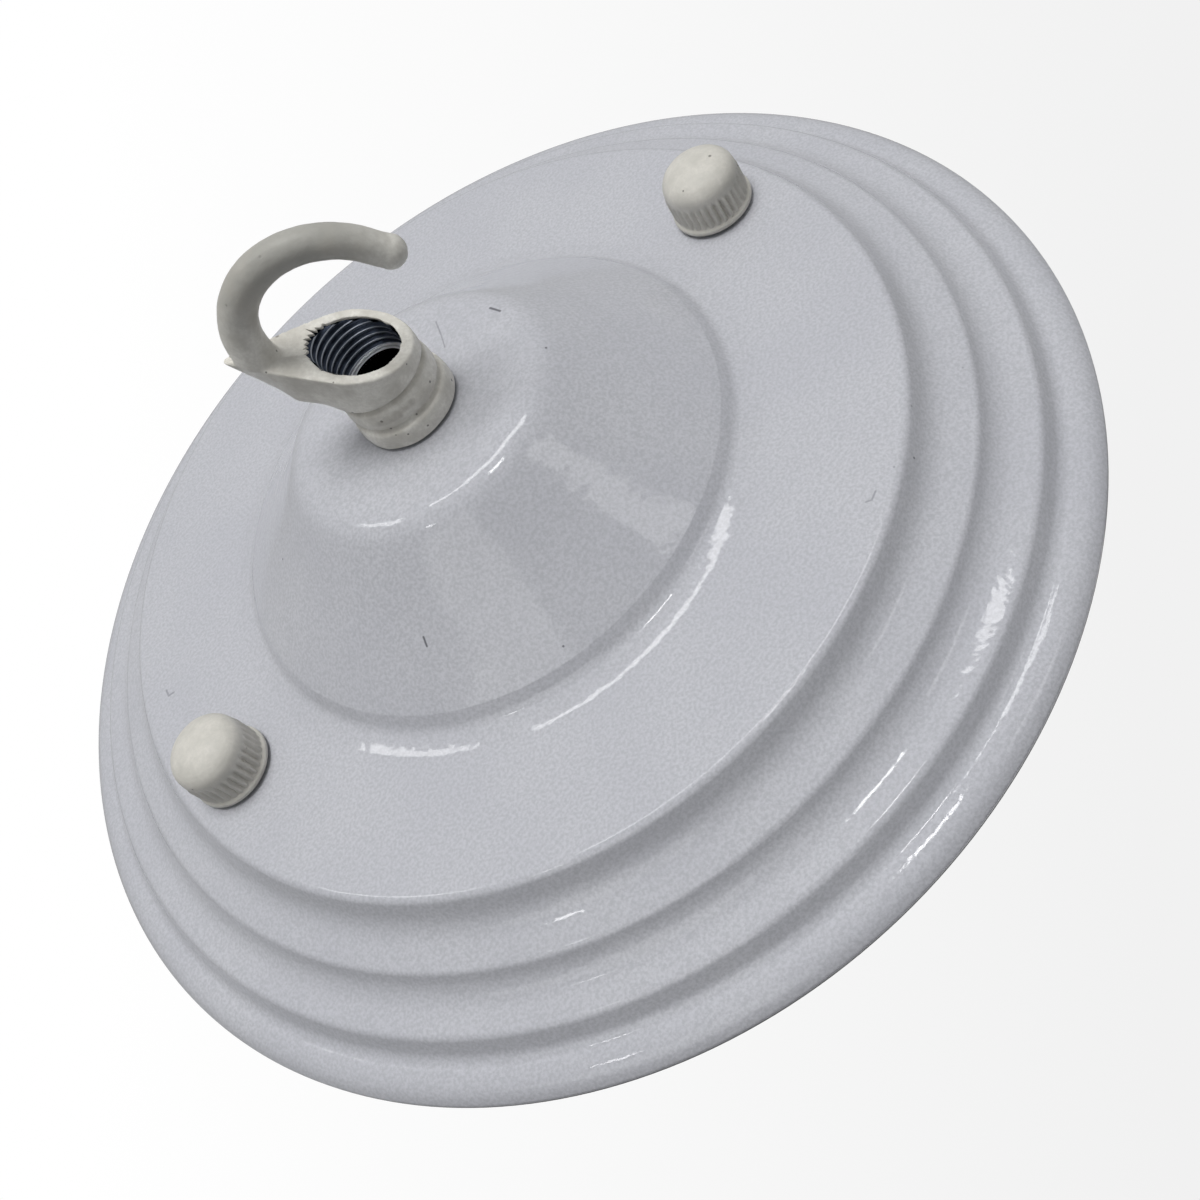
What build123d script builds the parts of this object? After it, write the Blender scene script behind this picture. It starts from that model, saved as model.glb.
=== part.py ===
"""Electrical ceiling rose: stepped steel canopy, cast lamp hook, strap bracket and terminals.

The rose is modelled as it hangs. The ceiling is the plane z = 0, +Z points up, and the
origin is the centre of the ceiling face. X runs along the strap bracket, through the two
knurled cap nuts. A length called a depth is measured down from the ceiling.
"""

from build123d import *
from math import acos, cos, degrees, radians, sin, tan
import os

os.makedirs("parts", exist_ok=True)


def pitch_diameter(major, pitch):
    """Mean diameter of a metric thread. Threads are plain cylinders of this size here."""
    return major - 0.75 * tan(radians(60)) / 2 * pitch


# Canopy, from the rim inwards
rim_diameter = 150.0
canopy_sheet = 0.8
lip_height = 1.25
lip_round = 0.9
outer_ledge_width = 4.9
outer_ledge_rise = 1.7
outer_wall_run = 1.4
outer_wall_rise = 2.45
middle_ledge_width = 5.0
middle_ledge_rise = 1.2
middle_wall_run = 1.3
middle_wall_rise = 2.35
inner_ledge_width = 4.7
inner_ledge_rise = 1.05
inner_wall_run = 2.0
inner_wall_rise = 4.2
edge_round = 1.2
outer_cove_round = 2.0
inner_cove_round = 2.5
face_width = 17.1
cone_cove_run = 3.1
cone_cove_rise = 0.8
cone_cove_entry_round = 8.0
cone_cove_round = 2.2
cone_foot_run = 1.3
cone_foot_rise = 1.7
cone_foot_round = 1.0
cone_rise = 14.3
crown_radius = 16.8
cone_flare = 0.6
cone_flare_round = 90.0
crown_round = 6.5

# Threads: major diameter and pitch
lamp_thread = 10.0
lamp_pitch = 1.0
stud_thread = 4.0
stud_pitch = 0.7
block_thread = 2.5
block_pitch = 0.45
thread_clearance = 0.04
hole_clearance = 0.3
ceiling_gap = 0.1
nut_bevel = 0.5

# Slotted screw heads: shares of the head height and of the shank diameter
head_round_share = 0.4
slot_width_share = 0.5
slot_depth_share = 0.45
tip_chamfer_share = 0.12

# Hook
hook_turn = 213.0
boss_diameter = 12.8
boss_belt_drop = 0.3
boss_base_height = 3.4
boss_height = 7.2
groove_width = 0.7
groove_depth = 0.3
beak_reach = 13.4
beak_tip_radius = 0.9
beak_height = 12.0
hull_height = 3.6
hull_reach = 9.8
hull_tip_radius = 3.4
neck_tip_wrap = 12.0
face_tilt = 27.0
face_height = 12.2
curl_radius = 10.3
curl_centre_out = 0.7
curl_centre_drop = 4.8
curl_foot_start = 12.0
curl_turn = 147.0
flick_radius = 9.0
flick_turn = 14.0
curl_foot_radius = 2.45
curl_crown_radius = 2.1
curl_tip_radius = 1.85
curl_foot_sink = 0.3

# Nipple that clamps the hook to the canopy, with its nut and lock washer
nipple_bore = 7.5
nipple_engagement = 6.5
nipple_end_chamfer = 0.3
nipple_spare = 1.2
nipple_nut_width = 14.0
nipple_nut_height = 3.0
lock_washer_diameter = 17.0
lock_washer_thickness = 0.8
lock_washer_teeth = 12
lock_washer_notch_length = 3.6
lock_washer_notch_width = 1.2

# Strap bracket
strap_width = 20.0
strap_thickness = 1.5
strap_crank_run = 3.5
strap_crank_drop = 5.0
strap_crank_round = 2.0
strap_crank_clearance = 2.0
strap_end_margin = 7.0
strap_corner_round = 4.0
strap_centre_hole = 10.5
slot_centre = 27.0
slot_length = 16.0
slot_width = 5.2
ear_length = 17.0
ear_width = 30.0
ear_corner_round = 2.0

# Studs, lock nuts and knurled cap nuts
stud_inset = 7.7
stud_head_diameter = 8.0
stud_head_height = 2.4
stud_lock_nut_width = 7.0
stud_lock_nut_height = 3.2
stud_stand_out = 5.2
cap_nut_diameter = 11.0
cap_nut_height = 8.2
cap_nut_bead_height = 0.8
cap_nut_waist_inset = 0.4
cap_nut_knurl_top = 4.6
cap_nut_shoulder_round = 2.4
cap_nut_dome_rise = 1.0
cap_nut_end_gap = 0.6
cap_nut_ribs = 32
cap_nut_rib_radius = 0.3
cap_nut_seat_gap = 0.05

# Earth terminal
earth_offset = 13.0
earth_collar_diameter = 7.4
earth_collar_height = 1.4
earth_washer_thickness = 0.8
earth_washer_lip = 0.9
earth_head_diameter = 7.6
earth_head_height = 2.6

# Terminal block
pole_count = 3
pole_pitch = 11.0
pole_width = 5.8
pole_length = 14.0
pole_height = 6.4
tower_diameter = 5.2
tower_height = 4.0
tower_spacing = 6.6
block_edge_round = 0.6
web_height = 3.0
web_length = 6.0
tube_diameter = 4.6
tube_bore = 3.0
tube_recess = 0.6
clamp_screw_length = 5.0
clamp_screw_recess = 0.5
clamp_screw_slot = 0.7
block_screw_head_diameter = 4.8
block_screw_head_height = 1.7

# What follows from these sizes
rim_radius = rim_diameter / 2
outer_step_radius = rim_radius - outer_ledge_width - outer_wall_run
middle_step_radius = outer_step_radius - middle_ledge_width - middle_wall_run
face_radius = middle_step_radius - inner_ledge_width - inner_wall_run
cove_radius = face_radius - face_width
cone_foot_radius = cove_radius - cone_cove_run - cone_foot_run
outer_foot_depth = lip_height + outer_ledge_rise
outer_step_depth = outer_foot_depth + outer_wall_rise
middle_foot_depth = outer_step_depth + middle_ledge_rise
middle_step_depth = middle_foot_depth + middle_wall_rise
inner_foot_depth = middle_step_depth + inner_ledge_rise
face_depth = inner_foot_depth + inner_wall_rise
cove_depth = face_depth + cone_cove_rise
cone_foot_depth = cove_depth + cone_foot_rise
crown_depth = cone_foot_depth + cone_rise
crown_inside_depth = crown_depth - canopy_sheet

nipple_diameter = pitch_diameter(lamp_thread, lamp_pitch) - 2 * thread_clearance
lamp_hole = pitch_diameter(lamp_thread, lamp_pitch)
stud_diameter = pitch_diameter(stud_thread, stud_pitch)
stud_bore = stud_diameter + 2 * thread_clearance
block_screw_diameter = pitch_diameter(block_thread, block_pitch)
canopy_centre_hole = lamp_thread + 2 * hole_clearance
stud_hole = stud_thread + 2 * hole_clearance

stud_radius = face_radius - stud_inset
strap_end = stud_radius + strap_end_margin
strap_crank_end = stud_radius - stud_head_diameter / 2 - strap_crank_clearance
strap_centre_half = strap_crank_end - strap_crank_run
strap_end_depth = strap_crank_drop + strap_thickness
stud_tip_depth = face_depth + stud_stand_out


# Canopy: one sheet, pressed into three coved steps and a central cone
flare_radius = (cone_foot_radius + crown_radius) / 2 - cone_flare / 2
flare_depth = (cone_foot_depth + crown_depth) / 2 - cone_flare / 2
with BuildPart() as canopy:
    with BuildSketch(Plane.XZ):
        with BuildLine():
            FilletPolyline(
                (rim_radius, 0),
                (rim_radius, -lip_height),
                (outer_step_radius + outer_wall_run, -outer_foot_depth),
                (outer_step_radius, -outer_step_depth),
                (middle_step_radius + middle_wall_run, -middle_foot_depth),
                (middle_step_radius, -middle_step_depth),
                (face_radius + inner_wall_run, -inner_foot_depth),
                (face_radius, -face_depth),
                (cove_radius, -face_depth),
                (cove_radius - cone_cove_run, -cove_depth),
                (cone_foot_radius, -cone_foot_depth),
                (flare_radius, -flare_depth),
                (crown_radius, -crown_depth),
                (canopy_centre_hole / 2, -crown_depth),
                radius=(
                    lip_round,
                    outer_cove_round,
                    edge_round,
                    outer_cove_round,
                    edge_round,
                    inner_cove_round,
                    edge_round,
                    cone_cove_entry_round,
                    cone_cove_round,
                    cone_foot_round,
                    cone_flare_round,
                    crown_round,
                ),
            )
            offset(amount=canopy_sheet, side=Side.RIGHT)
        make_face()
    revolve(axis=Axis.Z)
    with BuildSketch(Plane.XY.offset(-face_depth)):
        with Locations((stud_radius, 0), (-stud_radius, 0)):
            Circle(stud_hole / 2)
    extrude(amount=canopy_sheet * 2, both=True, mode=Mode.SUBTRACT)
canopy.part.label = "canopy"
export_step(canopy.part, "parts/canopy.step")


def beak_wrap(reach, body_radius, tip_radius):
    """Half angle, in degrees, at which the sides of the beak leave its round body."""
    return degrees(acos((body_radius - tip_radius) / (reach - tip_radius)))


def beak_outline(reach, body_radius, tip_radius):
    """Plan of the hook's beak: a round body drawn out to a small round tip."""
    wrap = beak_wrap(reach, body_radius, tip_radius)
    body_arc = CenterArc((0, 0), body_radius, wrap, 360 - 2 * wrap)
    tip_arc = CenterArc((reach - tip_radius, 0), tip_radius, -wrap, 2 * wrap)
    Line(body_arc @ 1, tip_arc @ 0)
    Line(tip_arc @ 1, body_arc @ 0)


def neck_outline(radius, wrap, tip_wrap):
    """The round neck, divided like the beak's outline so that the two loft cleanly."""
    CenterArc((0, 0), radius, wrap, 360 - 2 * wrap)
    CenterArc((0, 0), radius, -wrap, wrap - tip_wrap)
    CenterArc((0, 0), radius, -tip_wrap, 2 * tip_wrap)
    CenterArc((0, 0), radius, tip_wrap, wrap - tip_wrap)


# Planes of the hook: the upright one that the curl lies in, and the slanted face
hook_x = cos(radians(hook_turn))
hook_y = sin(radians(hook_turn))
slant = radians(face_tilt)
hook_plane = Plane(origin=(0, 0, -crown_depth), x_dir=(hook_x, hook_y, 0), z_dir=(hook_y, -hook_x, 0))
face_plane = Plane(
    origin=(0, 0, -crown_depth - face_height),
    x_dir=(hook_x * cos(slant), hook_y * cos(slant), -sin(slant)),
    z_dir=(-hook_x * sin(slant), -hook_y * sin(slant), -cos(slant)),
)
neck_plane = Plane(origin=(0, 0, -crown_depth - boss_height), x_dir=(hook_x, hook_y, 0), z_dir=(0, 0, -1))
beak_plane = neck_plane.offset(beak_height)

boss_radius = boss_diameter / 2
belt_radius = boss_radius - boss_belt_drop
neck_radius = belt_radius

# Curl of the hook: one tapering round rod, trimmed where its foot enters the slanted face
with BuildPart() as curl:
    with BuildLine(hook_plane) as curl_line:
        curl_centre = (-curl_centre_out, -face_height - curl_centre_drop)
        bend = CenterArc(curl_centre, curl_radius, curl_foot_start, -curl_foot_start - curl_turn)
        flick = JernArc(bend @ 1, bend % 1, flick_radius, flick_turn)
    curl_path = curl_line.wires()[0]
    for place, radius in ((0, curl_foot_radius), (0.5, curl_crown_radius), (1, curl_tip_radius)):
        with BuildSketch(curl_path ^ place):
            Circle(radius)
    sweep(path=curl_path, multisection=True)
    with Locations(curl_path @ 1):
        Sphere(curl_tip_radius)
    split(bisect_by=face_plane.offset(-curl_foot_sink), keep=Keep.TOP)

# Hook: one casting with a grooved boss, a slanted beak, a tapped hole and the curl
with BuildPart() as hook:
    with BuildSketch(hook_plane):
        with BuildLine():
            Polyline(
                (0, 0),
                (boss_radius, 0),
                (boss_radius, -boss_base_height + groove_width / 2),
                (belt_radius - groove_depth, -boss_base_height),
                (belt_radius, -boss_base_height - groove_width / 2),
                (belt_radius, -boss_height + groove_width),
                (neck_radius - groove_depth, -boss_height + groove_width / 2),
                (neck_radius, -boss_height),
                (0, -boss_height),
                close=True,
            )
        make_face()
    revolve(axis=Axis.Z)
    with BuildSketch(neck_plane):
        with BuildLine():
            wrap = beak_wrap(beak_reach, boss_radius, beak_tip_radius)
            neck_outline(neck_radius, wrap, neck_tip_wrap)
        make_face()
    with BuildSketch(neck_plane.offset(hull_height)):
        with BuildLine():
            beak_outline(hull_reach, belt_radius, hull_tip_radius)
        make_face()
    with BuildSketch(beak_plane):
        with BuildLine():
            beak_outline(beak_reach, boss_radius, beak_tip_radius)
        make_face()
    loft(ruled=True)
    split(bisect_by=face_plane, keep=Keep.BOTTOM)
    with Locations(Plane.XY.offset(-crown_depth)):
        Cylinder(lamp_hole / 2, 4 * beak_height, mode=Mode.SUBTRACT)
    add(curl.part)
hook.part.label = "hook"
export_step(hook.part, "parts/hook.step")


def hexagon_nut(across_flats, height, bore, bevel):
    """Nut standing on the local origin, with both ends bevelled."""
    corner = across_flats / 2 / cos(radians(30))
    bevel_drop = (corner - across_flats / 2 + bevel) * tan(radians(30))
    with BuildPart() as nut:
        with BuildSketch():
            RegularPolygon(across_flats / 2, 6, major_radius=False)
        extrude(amount=height)
        with BuildSketch(Plane.XZ):
            with BuildLine():
                Polyline(
                    (0, 0),
                    (across_flats / 2 - bevel, 0),
                    (corner, bevel_drop),
                    (corner, height - bevel_drop),
                    (across_flats / 2 - bevel, height),
                    (0, height),
                    close=True,
                )
            make_face()
        revolve(axis=Axis.Z, mode=Mode.INTERSECT)
        Hole(bore / 2)
    return nut.part


def slotted_screw(head_diameter, head_height, shank_diameter, shank_length):
    """Slotted pan-head screw: underside of the head at the local origin, shank along -Z."""
    with BuildPart() as screw:
        with BuildSketch():
            Circle(head_diameter / 2)
        extrude(amount=head_height)
        fillet(screw.faces().sort_by(Axis.Z)[-1].edges(), radius=head_height * head_round_share)
        with BuildSketch():
            Circle(shank_diameter / 2)
        extrude(amount=-shank_length)
        chamfer(screw.faces().sort_by(Axis.Z)[0].edges(), length=shank_diameter * tip_chamfer_share)
        with BuildSketch(Plane.XY.offset(head_height)):
            Rectangle(head_diameter * 2, head_height * slot_width_share)
        extrude(amount=-head_height * slot_depth_share, mode=Mode.SUBTRACT)
    return screw.part


# Nipple: a hollow threaded tube through the crown, with its lock washer and nut inside
nipple_clamp = canopy_sheet + lock_washer_thickness + nipple_nut_height + nipple_spare
with BuildPart() as nipple:
    with BuildSketch(Plane.XY.offset(-crown_depth - nipple_engagement)):
        Circle(nipple_diameter / 2)
        Circle(nipple_bore / 2, mode=Mode.SUBTRACT)
    extrude(amount=nipple_engagement + nipple_clamp)
    end_rims = nipple.edges().filter_by(GeomType.CIRCLE).group_by(SortBy.RADIUS)[-1]
    chamfer(end_rims, length=nipple_end_chamfer)
nipple.part.label = "nipple"
export_step(nipple.part, "parts/nipple.step")

with BuildPart() as lock_washer:
    with BuildSketch(Plane.XY.offset(-crown_inside_depth)):
        Circle(lock_washer_diameter / 2)
        Circle(canopy_centre_hole / 2, mode=Mode.SUBTRACT)
        with PolarLocations(lock_washer_diameter / 2, lock_washer_teeth):
            SlotOverall(lock_washer_notch_length, lock_washer_notch_width, mode=Mode.SUBTRACT)
    extrude(amount=lock_washer_thickness)
lock_washer.part.label = "lock_washer"
export_step(lock_washer.part, "parts/lock_washer.step")

nipple_nut_depth = crown_inside_depth - lock_washer_thickness
large_nut = hexagon_nut(nipple_nut_width, nipple_nut_height, lamp_hole, nut_bevel)
with BuildPart() as nipple_nut:
    with Locations((0, 0, -nipple_nut_depth)):
        add(large_nut)
nipple_nut.part.label = "nipple_nut"
export_step(nipple_nut.part, "parts/nipple_nut.step")


# Strap bracket: a steel strip, flat on the ceiling in the middle and cranked down at its ends
ear_centre = strap_width / 2 + ear_length / 2
web_places = [(pole_pitch * (i + 1 - pole_count / 2), ear_centre) for i in range(pole_count - 1)]
with BuildPart() as strap_bracket:
    with BuildSketch(Plane.XZ):
        with BuildLine():
            FilletPolyline(
                (-strap_end, -strap_crank_drop),
                (-strap_crank_end, -strap_crank_drop),
                (-strap_centre_half, 0),
                (strap_centre_half, 0),
                (strap_crank_end, -strap_crank_drop),
                (strap_end, -strap_crank_drop),
                radius=strap_crank_round,
            )
            offset(amount=strap_thickness, side=Side.RIGHT)
        make_face()
    extrude(amount=strap_width / 2, both=True)
    upright_edges = strap_bracket.edges().filter_by(Axis.Z).group_by(Axis.X)
    fillet(upright_edges[0] + upright_edges[-1], radius=strap_corner_round)
    with BuildSketch() as ear:
        with Locations((0, ear_centre)):
            Rectangle(ear_width, ear_length)
        fillet(ear.vertices().group_by(Axis.Y)[-1], radius=ear_corner_round)
    extrude(amount=-strap_thickness)
    with BuildSketch():
        with Locations((-earth_offset, 0)):
            Circle(earth_collar_diameter / 2)
    extrude(amount=-strap_thickness - earth_collar_height)
    with BuildSketch():
        Circle(strap_centre_hole / 2)
        with Locations((-slot_centre, 0), (slot_centre, 0)):
            SlotOverall(slot_length, slot_width)
        with Locations((-stud_radius, 0), (stud_radius, 0)):
            Circle(stud_thread / 2 + thread_clearance)
        with Locations((-earth_offset, 0)):
            Circle(stud_bore / 2)
        with Locations(web_places):
            Circle(block_screw_diameter / 2 + thread_clearance)
    extrude(amount=-2 * strap_end_depth, mode=Mode.SUBTRACT)
strap_bracket.part.label = "strap_bracket"
export_step(strap_bracket.part, "parts/strap_bracket.step")

# Studs: screws put in from the ceiling side, locked to the bracket, that carry the canopy
stud_length = stud_tip_depth - strap_crank_drop
stud = slotted_screw(stud_head_diameter, stud_head_height, stud_diameter, stud_length)
with BuildPart() as stud_screws:
    with Locations((-stud_radius, 0, -strap_crank_drop), (stud_radius, 0, -strap_crank_drop)):
        add(stud)
stud_screws.part.label = "stud_screws"
export_step(stud_screws.part, "parts/stud_screws.step")

lock_nut_depth = strap_end_depth + stud_lock_nut_height
lock_nut = hexagon_nut(stud_lock_nut_width, stud_lock_nut_height, stud_bore, nut_bevel)
with BuildPart() as stud_lock_nuts:
    with Locations((-stud_radius, 0, -lock_nut_depth), (stud_radius, 0, -lock_nut_depth)):
        add(lock_nut)
stud_lock_nuts.part.label = "stud_lock_nuts"
export_step(stud_lock_nuts.part, "parts/stud_lock_nuts.step")


# Knurled cap nuts, one on each stud, that turn by hand
def make_cap_nut():
    """Domed cap nut with a plain bead and a ribbed wall: open end at the origin, dome up."""
    bead_radius = cap_nut_diameter / 2
    waist_radius = bead_radius - cap_nut_waist_inset
    shoulder_height = cap_nut_height - cap_nut_dome_rise
    rib_height = cap_nut_knurl_top - cap_nut_bead_height
    with BuildPart() as nut:
        with BuildSketch(Plane.XZ):
            with BuildLine():
                FilletPolyline(
                    (0, 0),
                    (bead_radius, 0),
                    (bead_radius, cap_nut_bead_height),
                    (waist_radius, cap_nut_bead_height),
                    (waist_radius, shoulder_height),
                    (0, cap_nut_height),
                    radius=(
                        cap_nut_bead_height / 4,
                        cap_nut_bead_height / 4,
                        cap_nut_waist_inset / 2,
                        cap_nut_shoulder_round,
                    ),
                )
                Line((0, cap_nut_height), (0, 0))
            make_face()
        revolve(axis=Axis.Z)
        with BuildSketch(Plane.XY.offset(cap_nut_bead_height)):
            with PolarLocations(waist_radius, cap_nut_ribs):
                Circle(cap_nut_rib_radius)
        extrude(amount=rib_height)
        with BuildSketch():
            Circle(stud_bore / 2)
        extrude(amount=stud_stand_out + cap_nut_end_gap, mode=Mode.SUBTRACT)
    return nut.part


cap_nut = make_cap_nut()
cap_nut_seat_depth = face_depth + cap_nut_seat_gap
with BuildPart() as cap_nut_right:
    with Locations(Location((stud_radius, 0, -cap_nut_seat_depth), (180, 0, 0))):
        add(cap_nut)
cap_nut_right.part.label = "cap_nut_right"
export_step(cap_nut_right.part, "parts/cap_nut_right.step")

with BuildPart() as cap_nut_left:
    with Locations(Location((-stud_radius, 0, -cap_nut_seat_depth), (180, 0, 0))):
        add(cap_nut)
cap_nut_left.part.label = "cap_nut_left"
export_step(cap_nut_left.part, "parts/cap_nut_left.step")


# Earth terminal: a cupped washer and screw on the collar pressed out of the bracket
collar_depth = strap_thickness + earth_collar_height
earth_seat_depth = collar_depth + earth_washer_thickness
cup_radius = earth_collar_diameter / 2 + hole_clearance
with BuildPart() as earth_washer:
    with BuildSketch(Plane.XY.offset(-earth_seat_depth)):
        with Locations((-earth_offset, 0)):
            Circle(cup_radius + earth_washer_thickness)
    extrude(amount=earth_washer_thickness + earth_washer_lip)
    with BuildSketch(Plane.XY.offset(-collar_depth)):
        with Locations((-earth_offset, 0)):
            Circle(cup_radius)
    extrude(amount=earth_washer_lip, mode=Mode.SUBTRACT)
    with BuildSketch(Plane.XY.offset(-earth_seat_depth)):
        with Locations((-earth_offset, 0)):
            Circle(stud_thread / 2 + hole_clearance)
    extrude(amount=earth_washer_thickness, mode=Mode.SUBTRACT)
earth_washer.part.label = "earth_washer"
export_step(earth_washer.part, "parts/earth_washer.step")

earth_length = earth_seat_depth - ceiling_gap
clamp = slotted_screw(earth_head_diameter, earth_head_height, stud_diameter, earth_length)
with BuildPart() as earth_screw:
    with Locations(Location((-earth_offset, 0, -earth_seat_depth), (180, 0, 0))):
        add(clamp)
earth_screw.part.label = "earth_screw"
export_step(earth_screw.part, "parts/earth_screw.step")


# Terminal block under the bracket's ear: a moulded strip of poles, each with a brass tube
pole_places = [(pole_pitch * (i - (pole_count - 1) / 2), ear_centre) for i in range(pole_count)]
tube_depth = strap_thickness + pole_height / 2
tower_places = [(x, y + side * tower_spacing / 2) for x, y in pole_places for side in (-1, 1)]
tower_end_depth = strap_thickness + pole_height + tower_height
tube_plane = Plane(origin=(0, ear_centre, -tube_depth), x_dir=(1, 0, 0), z_dir=(0, 1, 0))
pole_columns = [(x, 0) for x, y in pole_places]
with BuildPart() as terminal_block:
    with BuildSketch(Plane.XY.offset(-strap_thickness)):
        with Locations(pole_places):
            RectangleRounded(pole_width, pole_length, block_edge_round)
    extrude(amount=-pole_height)
    with BuildSketch(Plane.XY.offset(-strap_thickness)):
        with Locations(web_places):
            Rectangle(pole_pitch, web_length)
    extrude(amount=-web_height)
    with BuildSketch(Plane.XY.offset(-strap_thickness - pole_height)):
        with Locations(tower_places):
            Circle(tower_diameter / 2)
    extrude(amount=-tower_height)
    with BuildSketch(tube_plane):
        with Locations(pole_columns):
            Circle(tube_diameter / 2 + thread_clearance)
    extrude(amount=pole_length, both=True, mode=Mode.SUBTRACT)
    with BuildSketch(Plane.XY.offset(-tube_depth)):
        with Locations(tower_places):
            Circle(block_screw_diameter / 2 + hole_clearance)
    extrude(amount=-tower_end_depth, mode=Mode.SUBTRACT)
    with BuildSketch(Plane.XY.offset(-strap_thickness)):
        with Locations(web_places):
            Circle(block_screw_diameter / 2 + hole_clearance)
    extrude(amount=-web_height, mode=Mode.SUBTRACT)
terminal_block.part.label = "terminal_block"
export_step(terminal_block.part, "parts/terminal_block.step")

with BuildPart() as terminal_tubes:
    with BuildSketch(tube_plane):
        with Locations(pole_columns):
            Circle(tube_diameter / 2)
            Circle(tube_bore / 2, mode=Mode.SUBTRACT)
    extrude(amount=pole_length / 2 - tube_recess, both=True)
    with BuildSketch(Plane.XY.offset(-tube_depth)):
        with Locations(tower_places):
            Circle(block_screw_diameter / 2 + thread_clearance)
    extrude(amount=-tube_diameter, mode=Mode.SUBTRACT)
terminal_tubes.part.label = "terminal_tubes"
export_step(terminal_tubes.part, "parts/terminal_tubes.step")

with BuildPart() as clamp_screws:
    with BuildSketch(Plane.XY.offset(clamp_screw_recess - tower_end_depth)):
        with Locations(tower_places):
            Circle(block_screw_diameter / 2)
    extrude(amount=clamp_screw_length)
    with BuildSketch(Plane.XY.offset(clamp_screw_recess - tower_end_depth)):
        with Locations(tower_places):
            Rectangle(block_screw_diameter * 2, clamp_screw_slot)
    extrude(amount=clamp_screw_slot, mode=Mode.SUBTRACT)
clamp_screws.part.label = "clamp_screws"
export_step(clamp_screws.part, "parts/clamp_screws.step")

web_depth = strap_thickness + web_height
fixing = slotted_screw(
    block_screw_head_diameter,
    block_screw_head_height,
    block_screw_diameter,
    web_depth - ceiling_gap,
)
with BuildPart() as block_screws:
    with Locations([Location((x, y, -web_depth), (180, 0, 0)) for x, y in web_places]):
        add(fixing)
block_screws.part.label = "block_screws"
export_step(block_screws.part, "parts/block_screws.step")
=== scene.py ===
"""Looks of the electrical ceiling rose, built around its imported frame.

The frame hangs as the rose does: the ceiling is z = 0, the hook points down, and X runs
through the two cap nuts. Lengths are metres, and the rose's own are written in millimetres
times MM, or say so. A depth is measured down from the ceiling.
"""

import math

import bmesh
import bpy
import numpy as np
from mathutils import Matrix, Vector, noise


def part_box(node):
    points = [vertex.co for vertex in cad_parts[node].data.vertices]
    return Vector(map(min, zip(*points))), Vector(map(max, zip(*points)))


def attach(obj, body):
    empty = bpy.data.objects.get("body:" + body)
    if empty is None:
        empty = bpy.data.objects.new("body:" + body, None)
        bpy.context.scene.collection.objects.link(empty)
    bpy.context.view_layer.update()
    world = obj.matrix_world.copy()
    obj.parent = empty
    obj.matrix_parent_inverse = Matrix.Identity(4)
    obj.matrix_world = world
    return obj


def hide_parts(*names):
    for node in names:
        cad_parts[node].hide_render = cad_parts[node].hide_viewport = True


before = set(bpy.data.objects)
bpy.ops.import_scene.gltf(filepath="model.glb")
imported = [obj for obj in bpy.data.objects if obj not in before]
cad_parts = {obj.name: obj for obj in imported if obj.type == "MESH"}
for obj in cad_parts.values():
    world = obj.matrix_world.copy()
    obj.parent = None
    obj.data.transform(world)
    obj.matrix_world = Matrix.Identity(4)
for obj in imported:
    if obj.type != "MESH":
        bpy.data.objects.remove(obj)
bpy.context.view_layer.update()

MM = 0.001
BODY = "rose"
RANGE_SOCKETS = ("From Min", "From Max", "To Min", "To Max")

# Camera of the photograph, in the frame's axes
CAMERA_PLACE = (-0.02003, 0.13028, -0.14025)
CAMERA_RIGHT = (0.63701, 0.63651, 0.43482)
CAMERA_UP = (0.76443, -0.44897, -0.46267)
CAMERA_FORWARD = (0.09928, -0.62712, 0.77257)
CAMERA_LENS = 42.0

# Light: what reaches the shading, its brighter side, and what the gloss mirrors
AMBIENT = 0.44
AMBIENT_COLOR = (0.97, 0.98, 1.0)
AMBIENT_SIDE = (0.26, -0.94, -0.22)
AMBIENT_SLOPE = 0.7
MIRROR = 0.45
BACKDROP_REACH = 0.36
BACKDROP_LEVELS = (255, 241)
KEY_TOWARD = (-75, 6, 1.6)
KEY_SIZE = 0.7
KEY_POWER = 19.5
FILL_PLACE = (0.3, 0.4, 1.5)
FILL_SIZE = 1.5
FILL_POWER = 6.0
LAMP_DROP = 0.7
FLOOR_DROP = 2.4
FLOOR_REACH = 6.0

# Lamps seen only in the gloss: name, x, y, length, width, turn in degrees and glow
TUBES = (
    ("tube_near", 0.075, 0.075, 0.08, 0.06, 0.0, 14.0),
    ("tube_long", 0.095, -0.166, 0.48, 0.07, 25.9, 6.0),
    ("tube_far", -0.306, -0.383, 0.25, 0.09, 54.0, 5.0),
    ("tube_spot", -0.42, 0.102, 0.06, 0.06, 0.0, 10.0),
    ("panel_left", -0.72, 0.62, 0.80, 0.80, 12.0, 0.9),
    ("panel_right", 0.42, 0.5, 0.28, 0.13, 12.0, 1.7),
)

# Canopy: its sheet, its stud holes and its depths
RIM_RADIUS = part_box("canopy")[1][0]
SHEET = 0.8 * MM
# Height of the dark band of painted shade at the rim's edge
RIM_SHADE_BAND = 0.26 * MM
STUD_HOLE = 2.3 * MM
NUT_OFFSET = 48.0 * MM
FACE_DEPTH = 14.2 * MM
CROWN_DEPTH = 31.0 * MM

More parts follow.
